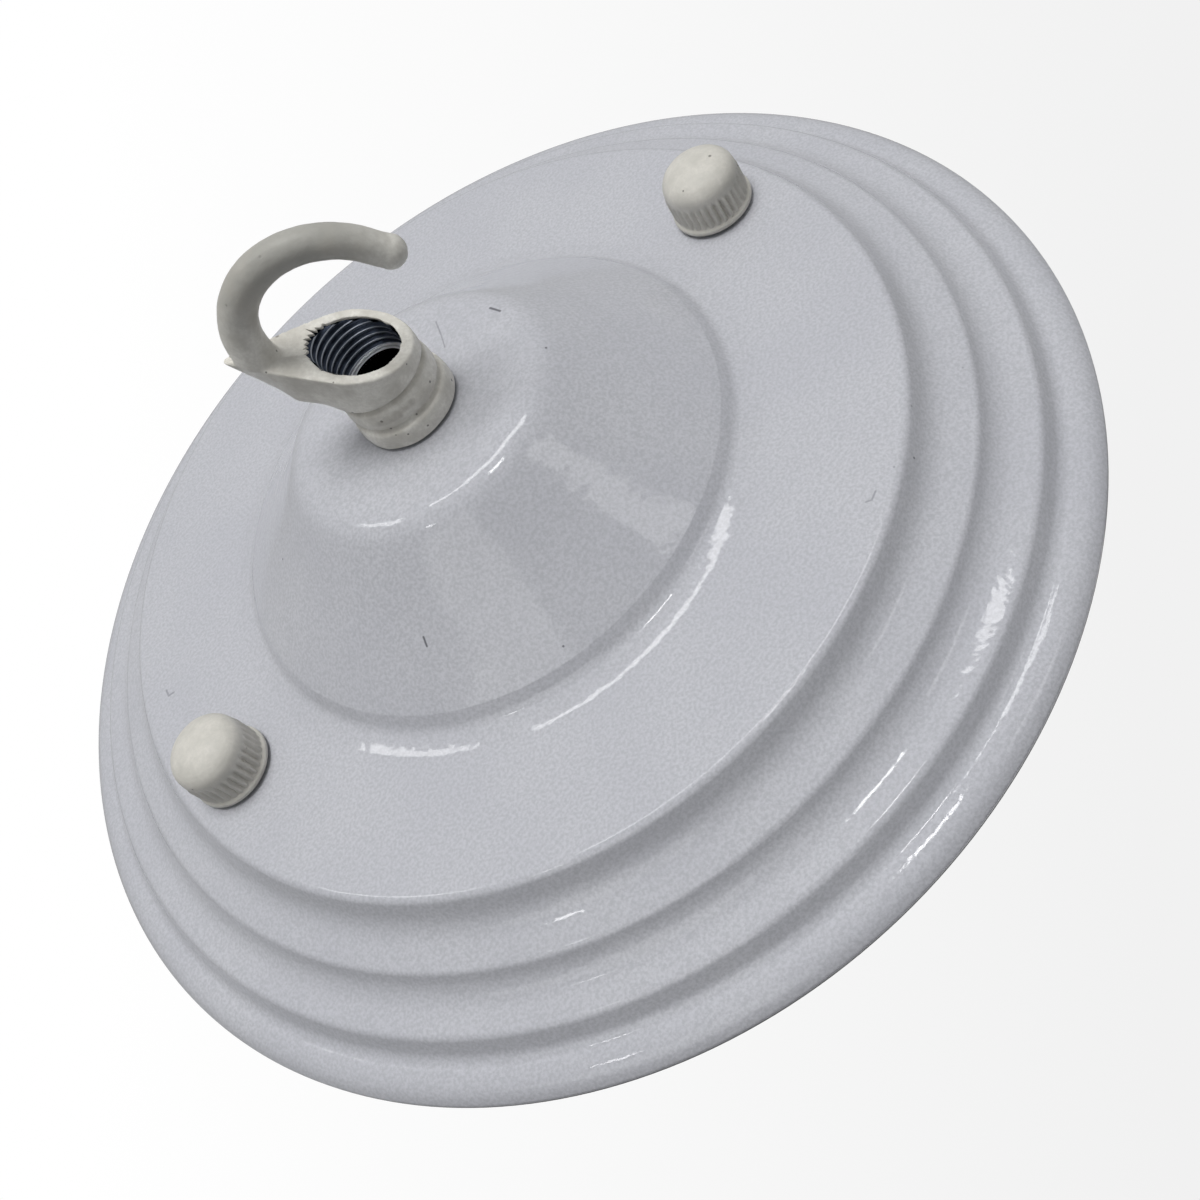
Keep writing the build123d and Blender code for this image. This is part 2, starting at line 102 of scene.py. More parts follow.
# Canopy profile: inward run, drop and the round at the end of each step, in millimetres. The
# runs and drops add up to the source's. The steps are softer here, after the photo's reflections
PROFILE_STEPS = (
    (0.0, 0.55, 0.8),
    (0.7, 0.9, 3.0),
    (1.0, 0.65, 3.4),
    (1.4, 0.32, 6.0),
    (0.9, 0.05, 1.7),
    (0.9, 0.48, 2.0),
    (1.4, 2.45, 1.2),
    (3.0, 0.42, 4.0),
    (2.0, 0.78, 4.4),
    (1.3, 2.35, 1.2),
    (2.6, 0.8, 6.0),
    (2.1, 0.7, 4.8),
    (2.0, 3.75, 1.2),
    (17.1, 0.0, 8.0),
    (3.1, 0.8, 2.2),
    (1.3, 1.7, 1.0),
    (9.0, 6.85, 90.0),
    (8.4, 7.45, 6.5),
    (11.5, 0.0, 0.0),
)
CANOPY_SEGMENTS = 256
STUD_HOLE_SEGMENTS = 48
ARC_STEP = math.radians(7)
LONGEST_RUN = 1.6 * MM
SAME_POINT = 1e-7

# Hook: its upright plane, its slanted face and the hole in it
HOOK_TURN = math.radians(213)
HOOK_X = math.cos(HOOK_TURN)
HOOK_Y = math.sin(HOOK_TURN)
FACE_SLOPE = math.tan(math.radians(27))
FACE_START = CROWN_DEPTH + 12.2 * MM
HOOK_VOXEL = 0.17 * MM
HOOK_SMOOTHING = 12
HOLE_RADIUS = 4.72 * MM
HOLE_SEGMENTS = 360
BORE_RADIUS = 5.05 * MM
PAINT_SKIN = 0.42 * MM
NIPPLE_END = -37.5 * MM

# Ball that ends the curl: place along the hook's plane, height and radius, in millimetres
CURL_END = (-10.65, -51.9, 1.93)

# Beak tip: where it starts along the hook's plane, its lowest height, its rounds of smoothing
TIP_START = 11.9 * MM
TIP_HEIGHT = -50.8 * MM
TIP_SMOOTHING = 24

# Rings pressed into the boss: depth below the crown, width and press, in millimetres. The neck
# groove stops short of the beak, and the foot is pressed in where it meets the canopy
BOSS_RINGS = (
    (3.5, 0.5, 0.24),
    (5.9, 0.5, 0.05),
    (1.7, 1.1, -0.09),
    (5.0, 0.8, -0.08),
)
NECK_DEPTH = 6.95
NECK_WIDTH = 0.36
NECK_PRESS = 0.5
FOOT_PRESS = 0.34

# Parting line that steps across the slanted face, and the casting's uneven skin: waves for each
# millimetre, height in millimetres and shift
PARTING_STEP = 0.3
SKIN_WAVES = (
    (0.45, 0.055, (0, 0, 0)),
    (1.3, 0.022, (7, 3, 1)),
)

# Edge of the paint round the hole, in millimetres: how far it stands back, how far it hangs in
# on its wavy side, its waves (count, height and phase) and its teeth (azimuth and half width in
# degrees, and reach)
EDGE_SPARE = 0.06
EDGE_OVERHANG = 0.38
WAVY_SIDE = math.radians(110)
EDGE_WAVES = (
    (11, 0.2, 0.6),
    (19, 0.15, 2.1),
    (31, 0.07, 4.0),
)
TEETH = (
    (196, 3.0, 0.2),
    (209, 3.4, 0.3),
    (219, 2.6, 0.7),
    (226, 3.4, 0.35),
    (235, 2.8, 0.75),
    (243, 3.6, 0.4),
    (251, 2.2, 1.05),
    (258, 3.4, 0.4),
    (268, 3.0, 0.3),
)

# Threads: crest and root radius, and the heights of their two ends. The hook's runs on to its
# slanted face, so the second height only sets how finely it is cut
THREAD_MINOR = 4.46 * MM
THREAD_PITCH = 1.0 * MM
HOOK_THREAD = (THREAD_MINOR, 5.0 * MM, NIPPLE_END + 0.2 * MM, -46 * MM)
NIPPLE_THREAD = (4.93 * MM, 4.5 * MM, -26.2 * MM, -24.6 * MM)
STUD_THREAD = (1.97 * MM, 1.66 * MM, -19.2 * MM, -9.8 * MM)
STUD_PITCH = 0.7 * MM
THREAD_SEGMENTS = 128
THREAD_ROWS = 14

# Rounded end of the nipple: radius and height above its end, in millimetres
NIPPLE_RIM = (
    (3.75, 0.3), (3.76, -0.02), (3.82, -0.1), (3.93, -0.14), (4.03, -0.1), (4.1, -0.04),
    (4.22, -0.03), (4.34, -0.05), (4.42, -0.12), (4.52, -0.15), (4.61, -0.1), (4.66, 0.0),
    (4.66, 0.3),
)
NIPPLE_SEGMENTS = 96

# Cap nuts: their seat, their ribs in millimetres, and the heights over which the ribs fade in
# and out
NUT_SEAT_GAP = 0.05 * MM
NUT_UNDERCUT = 0.36 * MM
NUT_RUN = 0.25 * MM
NUT_RIBS = 32
RIB_SEGMENTS = 12
RIB_HEIGHT = 0.44
RIB_SINK = 0.27
RIB_SHARPNESS = 0.75
RIB_FOOT = (1.25, 1.75)
RIB_TOP = (4.1, 5.3)

# Cap nut profile: radius and height from its open end to the top of its dome, in millimetres
NUT_PROFILE = (
    (2.0, 0.0), (4.55, 0.0), (4.62, 0.1), (4.65, 0.36), (5.12, 0.37), (5.32, 0.42),
    (5.45, 0.54), (5.5, 0.72), (5.5, 0.9), (5.45, 1.06), (5.32, 1.17), (5.18, 1.23),
    (5.1, 1.35), (5.1, 1.6), (5.1, 2.0), (5.1, 2.6), (5.1, 3.2), (5.1, 3.8), (5.1, 4.3),
    (5.1, 4.7), (5.1, 5.0), (5.08, 5.4), (5.0, 5.85), (4.82, 6.3), (4.5, 6.75), (4.05, 7.15),
    (3.5, 7.45), (2.8, 7.72), (2.0, 7.95), (1.2, 8.1), (0.5, 8.17), (0.001, 8.2),
)

# Small marks of the photograph, in millimetres: strokes have a start, an end and a width, and
# spots and pits a centre and a radius
DARK_STROKES = (
    ((15.54, -1.06, -30.88), (15.81, 0.66, -30.83), 0.24),
    ((-20.23, 17.83, -22.21), (-20.79, 18.52, -21.54), 0.2),
)
DARK_SPOTS = (
    ((-24.05, -8.52, -23.38), 0.2),
    ((14.83, 10.08, -29.91), 0.22),
    ((-10.98, 31.01, -17.69), 0.2),
    ((66.62, 18.98, -4.41), 0.26),
    ((29.49, 48.12, -12.66), 0.22),
)
FAINT_STROKES = (
    ((10.6, -6.96, -31.0), (9.52, -4.6, -31.0), 0.16),
    ((9.52, -4.6, -31.0), (8.4, -2.49, -31.0), 0.14),
    ((21.93, 47.91, -14.2), (22.44, 48.34, -14.2), 0.18),
    ((22.44, 48.34, -14.2), (23.51, 47.99, -14.2), 0.18),
    ((-47.84, -19.82, -14.2), (-48.11, -18.76, -14.2), 0.22),
    ((-48.11, -18.76, -14.2), (-47.27, -18.43, -14.2), 0.22),
)
FAINT_SPOTS = (
    ((43.33, 43.33, -9.2), 0.2),
    ((34.57, 44.09, -13.52), 0.22),
    ((26.97, 47.87, -14.2), 0.18),
)
HOOK_STAINS = (
    ((-3.94, 4.71, -36.44), (-0.53, 6.11, -36.45), 0.7),
    ((-4.89, 3.76, -36.06), (-2.51, 5.64, -36.14), 0.6),
    ((-2.0, 5.9, -34.6), (1.5, 6.1, -34.3), 0.5),
    ((-6.0, -3.6, -47.6), (-3.3, -3.9, -45.8), 0.16),
)
HOOK_PITS = (
    ((-5.76, 2.07, -38.66), 0.22),
    ((-4.38, 4.3, -36.41), 0.24),
    ((2.04, 5.7, -40.26), 0.14),
    ((2.7, 5.55, -35.94), 0.2),
    ((5.02, 4.1, -32.43), 0.26),
    ((-6.19, -3.69, -47.73), 0.2),
    ((-1.05, 5.68, -34.4), 0.18),
    ((-4.14, 4.02, -34.52), 0.2),
    ((-3.35, 5.51, -33.23), 0.16),
    ((-5.02, 3.34, -44.38), 0.14),
    ((-0.9, 0.89, -59.91), 0.22),
    ((-5.7, 0.87, -37.9), 0.3),
)


def smoothstep(low, high, value):
    """0 below one value, 1 above another, with a soft change between; takes arrays too."""
    t = np.clip((value - low) / (high - low), 0.0, 1.0)
    return t * t * (3 - 2 * t)


def bell(value, middle, width):
    """1 at the middle, falling off on both sides."""
    return np.exp(-(((value - middle) / width) ** 2))


def mesh_object(name, points, faces, smooth=True):
    """A new mesh piece from points and faces."""
    mesh = bpy.data.meshes.new(name)
    mesh.from_pydata([tuple(p) for p in points], [], faces)
    mesh.validate()
    mesh.update()
    piece = bpy.data.objects.new(name, mesh)
    bpy.context.scene.collection.objects.link(piece)
    mesh.polygons.foreach_set("use_smooth", [smooth] * len(mesh.polygons))
    return piece


def place(piece, body=BODY, replaces=()):
    """Ties a piece to its body, in place of the named nodes."""
    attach(piece, body)
    if replaces:
        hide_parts(*replaces)


def rounded_line(points, radii):
    """A flat polyline with its inner corners rounded, cut into short runs."""
    out = [Vector(points[0])]
    for before, corner, after, radius in zip(points, points[1:], points[2:], radii):
        corner = Vector(corner)
        into = (corner - Vector(before)).normalized()
        away = (Vector(after) - corner).normalized()
        turn = math.atan2(into.x * away.y - into.y * away.x, into.dot(away))
        reach = radius * math.tan(abs(turn) / 2)
        side = math.copysign(1, turn)
        start = corner - into * reach
        centre = start + Vector((-into.y, into.x)) * radius * side
        steps = max(2, math.ceil(abs(turn) / ARC_STEP))
        for i in range(steps + 1):
            arm = start - centre
            arm.rotate(Matrix.Rotation(turn * i / steps, 2))
            out.append(centre + arm)
    out.append(Vector(points[-1]))
    line = [out[0]]
    for point in out[1:]:
        gap = point - line[-1]
        if gap.length < SAME_POINT:
            continue
        parts = max(1, math.ceil(gap.length / LONGEST_RUN))
        start = line[-1].copy()
        line.extend(start + gap * (i + 1) / parts for i in range(parts))
    return line


def line_normals(line):
    """Unit normals to the left of a flat polyline, at its points."""
    normals = []
    for i, point in enumerate(line):
        along = line[min(i + 1, len(line) - 1)] - line[max(i - 1, 0)]
        along.normalize()
        normals.append(Vector((-along.y, along.x)))
    return normals


def lathe(name, line, segments, closed=True):
    """A mesh turned about the Z axis from (radius, height) points."""
    points = []
    for i in range(segments):
        angle = 2 * math.pi * i / segments
        points.extend((r * math.cos(angle), r * math.sin(angle), z) for r, z in line)
    count = len(line)
    faces = []
    rows = count if closed else count - 1
    for i in range(segments):
        here = i * count
        there = (i + 1) % segments * count
        for j in range(rows):
            k = (j + 1) % count
            faces.append((here + j, there + j, there + k, here + k))
    return mesh_object(name, points, faces)


def ring_faces(rows, around):
    """The quads between neighbouring rings of points."""
    faces = []
    for j in range(rows - 1):
        here, there = j * around, (j + 1) * around
        for i in range(around):
            k = (i + 1) % around
            faces.append((here + i, there + i, there + k, here + k))
    return faces


def apply_modifiers(piece):
    """Bakes the modifiers of a piece into its mesh."""
    depsgraph = bpy.context.evaluated_depsgraph_get()
    baked = bpy.data.meshes.new_from_object(piece.evaluated_get(depsgraph))
    old = piece.data
    piece.modifiers.clear()
    piece.data = baked
    bpy.data.meshes.remove(old)


def cut(piece, cutter):
    """Subtracts one mesh from another and removes the cutter."""
    modifier = piece.modifiers.new("cut", "BOOLEAN")
    modifier.operation = "DIFFERENCE"
    modifier.solver = "EXACT"
    modifier.material_mode = "TRANSFER"
    modifier.object = cutter
    apply_modifiers(piece)
    bpy.data.objects.remove(cutter)


def close_ends(piece):
    """Fills the open ends of a turned mesh."""
    work = bmesh.new()
    work.from_mesh(piece.data)
    open_edges = [e for e in work.edges if e.is_boundary]
    bmesh.ops.holes_fill(work, edges=open_edges, sides=0)
    bmesh.ops.recalc_face_normals(work, faces=work.faces)
    work.to_mesh(piece.data)
    work.free()


def get_points(piece):
    """The vertices of a piece as one array."""
    flat = np.empty(len(piece.data.vertices) * 3)
    piece.data.vertices.foreach_get("co", flat)
    return flat.reshape(-1, 3)


def set_points(piece, points):
    """Writes the vertices of a piece back from one array."""
    piece.data.vertices.foreach_set("co", points.ravel())
    piece.data.update()


def get_normals(piece):
    """The vertex normals of a piece as one array."""
    flat = np.empty(len(piece.data.vertices) * 3)
    piece.data.vertices.foreach_get("normal", flat)
    return flat.reshape(-1, 3)


def canopy_line():
    """The outer profile of the canopy, from its rim to its centre hole."""
    corner = Vector((RIM_RADIUS, 0))
    corners = [corner.copy()]
    radii = []
    for run, drop, radius in PROFILE_STEPS:
        corner = corner - Vector((run, drop)) * MM
        corners.append(corner)
        radii.append(radius * MM)
    return rounded_line(corners, radii)


def make_canopy(paint_finish, rim_shade_finish):
    """The pressed sheet, with its two stud holes and a dark band of painted shade at its rim edge.
    """
    outside = canopy_line()
    outside.insert(1, Vector((RIM_RADIUS, -RIM_SHADE_BAND)))
    inside = [p - n * SHEET for p, n in zip(outside, line_normals(outside))]
    piece = lathe("canopy_shell", outside + inside[::-1], CANOPY_SEGMENTS)
    piece.data.materials.append(paint_finish)
    piece.data.materials.append(rim_shade_finish)
    # The faces at the rim's edge get the dark painted shade
    for polygon in piece.data.polygons:
        if all(piece.data.vertices[i].co.z > -RIM_SHADE_BAND * 1.01 for i in polygon.vertices):
            polygon.material_index = 1
    wall = [(STUD_HOLE, -FACE_DEPTH - 2 * MM), (STUD_HOLE, -FACE_DEPTH + 2 * MM)]
    for side in (-1, 1):
        hole = lathe("stud_hole", wall, STUD_HOLE_SEGMENTS, closed=False)
        close_ends(hole)
        hole.data.materials.append(paint_finish)
        hole.data.transform(Matrix.Translation((side * NUT_OFFSET, 0, 0)))
        cut(piece, hole)
    piece.data.set_sharp_from_angle(angle=math.radians(40))
    place(piece, replaces=["canopy"])


def face_height(x, y):
    """Height of the hook's slanted face above a point of the ceiling plane."""
    return -FACE_START - FACE_SLOPE * (x * HOOK_X + y * HOOK_Y)


def add_ball(piece, along, height, radius):
    """Adds a closed ball in the hook's plane, for the remesh to melt in."""
    work = bmesh.new()
    work.from_mesh(piece.data)
    where = Matrix.Translation(Vector((along * HOOK_X, along * HOOK_Y, height)) * MM)
    bmesh.ops.create_icosphere(work, subdivisions=3, radius=radius * MM, matrix=where)
    work.to_mesh(piece.data)
    work.free()


def sculpt_hook(piece):
    """Presses the grooves, the parting line and the uneven skin of the casting into the mesh."""
    points = get_points(piece)
    x, y, z = points.T / MM
    along = x * HOOK_X + y * HOOK_Y
    across = -x * HOOK_Y + y * HOOK_X
    radius = np.hypot(x, y)
    drop = -z - CROWN_DEPTH / MM
    round_body = smoothstep(4.9, 5.3, radius) * (1 - smoothstep(6.7, 7.3, radius))
    boss = round_body * (1 - smoothstep(8.2, 9.0, drop))
    press = sum(depth * bell(drop, middle, width) for middle, width, depth in BOSS_RINGS)
    press += NECK_PRESS * bell(drop, NECK_DEPTH, NECK_WIDTH) * (1 - smoothstep(5.6, 6.6, along))
    press += FOOT_PRESS * (1 - smoothstep(0.2, 0.5, drop))
    scale = 1 - boss * press / np.maximum(radius, 1.0)
    points[:, 0] *= scale
    points[:, 1] *= scale

    below_face = (face_height(points[:, 0], points[:, 1]) - points[:, 2]) / MM
    on_face = bell(below_face, 0.0, 0.35)
    stretch = smoothstep(4.6, 5.2, along) * (1 - smoothstep(9.4, 10.4, along))
    step = smoothstep(-0.55, -0.35, across) * (1 - smoothstep(1.5, 4.2, across))
    points[:, 2] += on_face * stretch * step * PARTING_STEP * MM
    set_points(piece, points)

    normals = get_normals(piece)
    lift = np.empty(len(points))
    for i, point in enumerate(points):
        where = Vector(point) / MM
        lift[i] = sum(
            height * noise.noise(where * waves + Vector(shift))
            for waves, height, shift in SKIN_WAVES
        )
    set_points(piece, points + normals * (lift * MM)[:, None])


def soften_tip(piece):
    """Melts the ragged edge that the remesh leaves at the beak's tip."""
    work = bmesh.new()
    work.from_mesh(piece.data)
    tip = [
        v
        for v in work.verts
        if v.co.x * HOOK_X + v.co.y * HOOK_Y > TIP_START and v.co.z > TIP_HEIGHT
    ]
    all_axes = {"use_axis_x": True, "use_axis_y": True, "use_axis_z": True}
    for _ in range(TIP_SMOOTHING):
        bmesh.ops.smooth_vert(work, verts=tip, factor=0.5, **all_axes)
    work.to_mesh(piece.data)
    work.free()


def hole_edge(angle):
    """Radius of the paint's edge round the tapped hole, in millimetres."""
    near_side = 0.5 + 0.5 * math.cos(angle - WAVY_SIDE)
    wave = sum(height * math.sin(count * angle + phase) for count, height, phase in EDGE_WAVES)
    edge = HOLE_RADIUS / MM + EDGE_SPARE + near_side * wave - EDGE_OVERHANG * near_side**2
    torn = 0.0
    for azimuth, half_width, reach in TEETH:
        away = abs((math.degrees(angle) - azimuth + 180) % 360 - 180)
        torn = max(torn, reach * max(0.0, 1 - away / half_width))
    return edge + torn


def make_hole_cutter(paint_finish, metal_finish):
    """The wavy mouth in the paint, and below it the bore down to the nipple."""
    mouth = (
        # extra radius, and height inwards from the face
        (0.12, -9.0),
        (0.12, -0.02),
        (0.03, 0.07),
        (0.0, 0.14),
        (0.0, PAINT_SKIN / MM),
    )
    around = HOLE_SEGMENTS
    angles = [2 * math.pi * i / around for i in range(around)]
    points = []
    for extra, inward in mouth:
        for angle in angles:
            edge = (hole_edge(angle) + extra) * MM
            x, y = edge * math.cos(angle), edge * math.sin(angle)
            points.append((x, y, face_height(x, y) + inward * MM))
    bore = [(BORE_RADIUS * math.cos(a), BORE_RADIUS * math.sin(a)) for a in angles]
    points.extend((x, y, face_height(x, y) + PAINT_SKIN) for x, y in bore)
    points.extend((x, y, NIPPLE_END + 0.3 * MM) for x, y in bore)
    count = len(mouth) + 2
    faces = ring_faces(count, around)
    faces.append(tuple(range(around)))
    faces.append(tuple((count - 1) * around + i for i in range(around)))
    cutter = mesh_object("hole_cutter", points, faces)
    work = bmesh.new()
    work.from_mesh(cutter.data)
    bmesh.ops.recalc_face_normals(work, faces=work.faces)
    work.to_mesh(cutter.data)
    work.free()
    cutter.data.materials.append(paint_finish)
    cutter.data.materials.append(metal_finish)
    mouth_faces = (len(mouth) - 1) * around
    for index, polygon in enumerate(cutter.data.polygons):
        polygon.material_index = 1 if index >= mouth_faces else 0
    return cutter


def make_hook(paint_finish, metal_finish):
    """The casting, remeshed so that its parts run into each other, sculpted and bored."""
    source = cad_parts["hook"]
    piece = bpy.data.objects.new("hook_casting", source.data.copy())
    bpy.context.scene.collection.objects.link(piece)
    add_ball(piece, *CURL_END)
    remesh = piece.modifiers.new("remesh", "REMESH")
    remesh.mode = "VOXEL"
    remesh.voxel_size = HOOK_VOXEL
    remesh.adaptivity = 0
    smooth = piece.modifiers.new("smooth", "SMOOTH")
    smooth.iterations = HOOK_SMOOTHING
    smooth.factor = 0.5
    apply_modifiers(piece)
    soften_tip(piece)
    sculpt_hook(piece)
    piece.data.materials.clear()
    piece.data.materials.append(paint_finish)
    piece.data.materials.append(metal_finish)
    cut(piece, make_hole_cutter(paint_finish, metal_finish))
    for polygon in piece.data.polygons:
        polygon.use_smooth = True
    piece.data.set_sharp_from_angle(angle=math.radians(42))
    place(piece, replaces=["hook"])


def helix_surface(name, crest, root, low, high, pitch, outer, top=None):
    """One helical surface from its first end to its second, or to a surface at the top.

    Its flanks are straight, with a flat crest and root. An outer one faces away from the axis.
    """
    around = THREAD_SEGMENTS
    rows = math.ceil(abs(high - low) / pitch * THREAD_ROWS) + 1
    points = []
    for j in range(rows):
        for i in range(around):
            angle = 2 * math.pi * i / around
            end = high
            if top is not None:
                end = top(root * math.cos(angle), root * math.sin(angle))
            z = low + (end - low) * j / (rows - 1)
            phase = (z / pitch - i / around) % 1
            flank = min(1.0, max(0.0, 1.3 * (1 - abs(2 * phase - 1)) - 0.1))
            radius = root + (crest - root) * flank
            points.append((radius * math.cos(angle), radius * math.sin(angle), z))
    piece = mesh_object(name, points, ring_faces(rows, around))
    work = bmesh.new()
    work.from_mesh(piece.data)
    bmesh.ops.recalc_face_normals(work, faces=work.faces)
    if outer:
        outward = sum(f.normal.dot(f.calc_center_median().xy.to_3d()) for f in work.faces)
        if outward < 0:
            bmesh.ops.reverse_faces(work, faces=work.faces)
    work.to_mesh(piece.data)
    work.free()
    return piece


def make_threads(dark, bright):
    """The lamp thread in the hook, and the threads of nipple and studs that show inside."""
    def under_the_paint(x, y):
        return face_height(x, y) + PAINT_SKIN * 1.05

    inner = helix_surface(
        "lamp_thread", *HOOK_THREAD, THREAD_PITCH, outer=False, top=under_the_paint
    )
    dress(inner, dark)
    place(inner)
    end = helix_surface("nipple_thread", *NIPPLE_THREAD, THREAD_PITCH, outer=True)
    dress(end, bright)
    place(end)
    for side, name in ((-1, "stud_thread_left"), (1, "stud_thread_right")):
        stud = helix_surface(name, *STUD_THREAD, STUD_PITCH, outer=True)
        stud.data.transform(Matrix.Translation((side * NUT_OFFSET, 0, 0)))
        dress(stud, bright)
        place(stud)


def make_nipple_rim(finish):
    """The bright rounded end of the nipple, seen through the hook's hole."""
    line = [Vector((radius * MM, NIPPLE_END + height * MM)) for radius, height in NIPPLE_RIM]
    rim = lathe("nipple_rim", line, NIPPLE_SEGMENTS, closed=False)
    dress(rim, finish)
    place(rim)


def make_cap_nut(name, node, body, side, finish, shadow):
    """A domed nut whose wall has soft ribs, filled by the paint at their ends."""
    line = [Vector(p) * MM for p in NUT_PROFILE]
    fine = [line[0]]
    for a, b in zip(line, line[1:]):
        parts = max(1, math.ceil((b - a).length / NUT_RUN))
        fine.extend(a + (b - a) * (i + 1) / parts for i in range(parts))
    piece = lathe(name, fine, NUT_RIBS * RIB_SEGMENTS, closed=False)
    points = get_points(piece)
    radius = np.hypot(points[:, 0], points[:, 1])
    angle = np.arctan2(points[:, 1], points[:, 0])
    height = points[:, 2] / MM
    # The ribs differ a little round the nut, and end at different heights
    uneven = 1 + 0.22 * np.sin(3 * angle + side) + 0.12 * np.sin(7 * angle + 2)
    fade, gone = RIB_TOP
    wall = smoothstep(*RIB_FOOT, height)
    wall = wall * (1 - smoothstep(fade, gone + 0.25 * np.sin(5 * angle), height))
    wall = wall * (radius > 4.7 * MM)
    wave = 0.5 + 0.5 * np.cos(angle * NUT_RIBS)
    shift = (RIB_HEIGHT * wave**RIB_SHARPNESS - RIB_SINK) * uneven * wall * MM
    points[:, 0] += np.cos(angle) * shift
    points[:, 1] += np.sin(angle) * shift
    set_points(piece, points)
    seat = -FACE_DEPTH - NUT_SEAT_GAP
    upside_down = Matrix.Rotation(math.pi, 4, "X")
    piece.data.transform(Matrix.Translation((side * NUT_OFFSET, 0, seat)) @ upside_down)
    piece.data.materials.append(finish)
    piece.data.materials.append(shadow)
    # Faces in the undercut at the nut's foot get the dark painted shadow
    base = seat - NUT_UNDERCUT - 0.02 * MM
    for polygon in piece.data.polygons:
        if all(piece.data.vertices[i].co.z > base for i in polygon.vertices):
            polygon.material_index = 1
    piece.data.set_sharp_from_angle(angle=math.radians(50))
    place(piece, body, replaces=[node])


def srgb(*levels):
    """A linear colour from 0 to 255 display levels."""
    out = []
    for level in levels:
        c = level / 255
        out.append(c / 12.92 if c <= 0.04045 else ((c + 0.055) / 1.055) ** 2.4)
    return (*out, 1.0)


class Finish:
    """A procedural material: its node tree and the few kinds of node used here."""

    def __init__(self, name):
        self.material = bpy.data.materials.new(name)
        self.material.use_nodes = True
        self.nodes = self.material.node_tree.nodes
        self.links = self.material.node_tree.links
        self.shader = self.nodes["Principled BSDF"]
        self.coords = self.nodes.new("ShaderNodeTexCoord").outputs["Object"]
        self.parts = None

    def link(self, value, socket):
        """Links an output, or writes a plain number."""
        if isinstance(value, (int, float, tuple)):
            socket.default_value = value
        else:
            self.links.new(value, socket)

    def math(self, operation, a, b=0.0):
        """One operation on two numbers."""
        node = self.nodes.new("ShaderNodeMath")
        node.operation = operation
        self.link(a, node.inputs[0])
        self.link(b, node.inputs[1])
        return node.outputs[0]

    def vector(self, operation, a, b=(0.0, 0.0, 0.0)):
        """One operation on two vectors."""
        node = self.nodes.new("ShaderNodeVectorMath")
        node.operation = operation
        self.link(a, node.inputs[0])
        self.link(b, node.inputs[1])
        to_number = operation in ("DOT_PRODUCT", "LENGTH", "DISTANCE")
        return node.outputs["Value" if to_number else "Vector"]

    def noise(self, scale, detail=2.0, rough=0.5, coords=None):
        """Soft noise, with its scale in waves for each metre."""
        node = self.nodes.new("ShaderNodeTexNoise")
        node.inputs["Scale"].default_value = scale
        node.inputs["Detail"].default_value = detail
        node.inputs["Roughness"].default_value = rough
        self.links.new(coords or self.coords, node.inputs["Vector"])
        return node.outputs["Fac"]

    def ramp(self, value, *stops):
        """A colour ramp through stops of position and colour."""
        node = self.nodes.new("ShaderNodeValToRGB")
        elements = node.color_ramp.elements
        while len(elements) < len(stops):
            elements.new(0.5)
        for element, (position, color) in zip(elements, stops):
            element.position = position
            element.color = color
        self.links.new(value, node.inputs["Fac"])
        return node.outputs["Color"]

    def span(self, value, low, high, start=0.0, end=1.0):
        """A value mapped from low..high to start..end, and held at the ends."""
        node = self.nodes.new("ShaderNodeMapRange")
        node.interpolation_type = "SMOOTHSTEP"
        for name, number in zip(RANGE_SOCKETS, (low, high, start, end)):
            node.inputs[name].default_value = number
        self.link(value, node.inputs["Value"])
        return node.outputs["Result"]

    def mix(self, amount, base, over):
        """One colour laid over another by an amount."""
        node = self.nodes.new("ShaderNodeMix")
        node.data_type = "RGBA"
        self.link(amount, node.inputs["Factor"])
        self.link(base, node.inputs["A"])
        self.link(over, node.inputs["B"])
        return node.outputs["Result"]

    def bump(self, height, distance, below=None):
        """A normal bent by a height, on top of another bent normal if given."""
        node = self.nodes.new("ShaderNodeBump")
        node.inputs["Strength"].default_value = 1.0
        node.inputs["Distance"].default_value = distance
        self.links.new(height, node.inputs["Height"])
        if below is not None:
            self.links.new(below, node.inputs["Normal"])
        return node.outputs["Normal"]

    def axis(self, index):
        """One coordinate of the surface point."""
        if self.parts is None:
            self.parts = self.nodes.new("ShaderNodeSeparateXYZ")
            self.links.new(self.coords, self.parts.inputs[0])
        return self.parts.outputs[index]

    def radius(self):
        """Distance from the rose's axis."""
        flat = self.vector("MULTIPLY", self.coords, (1.0, 1.0, 0.0))
        return self.vector("LENGTH", flat)

    def stroke(self, start, end, width):
        """1 on a short line between two points of the surface, 0 beside it."""
        a, b = Vector(start) * MM, Vector(end) * MM
        run = (b - a).length
        course = tuple((b - a) / run)
        from_start = self.vector("SUBTRACT", self.coords, tuple(a))
        along = self.vector("DOT_PRODUCT", from_start, course)
        held = self.math("MINIMUM", self.math("MAXIMUM", along, 0.0), run)
        scale = self.nodes.new("ShaderNodeVectorMath")
        scale.operation = "SCALE"
        scale.inputs[0].default_value = course
        self.links.new(held, scale.inputs["Scale"])
        away = self.vector("DISTANCE", from_start, scale.outputs[0])
        return self.span(away, width * MM * 0.35, width * MM, 1.0, 0.0)

    def spot(self, centre, radius):
        """1 at a small spot of the surface, 0 around it."""
        away = self.vector("DISTANCE", self.coords, tuple(Vector(centre) * MM))
        return self.span(away, radius * MM * 0.4, radius * MM, 1.0, 0.0)

    def marks(self, strokes, spots):
        """The masks of a table of strokes and a table of spots."""
        return [self.stroke(*mark) for mark in strokes] + [self.spot(*mark) for mark in spots]

    def most(self, values):
        """The greatest of several masks."""
        top = values[0]
        for value in values[1:]:
            top = self.math("MAXIMUM", top, value)
        return top

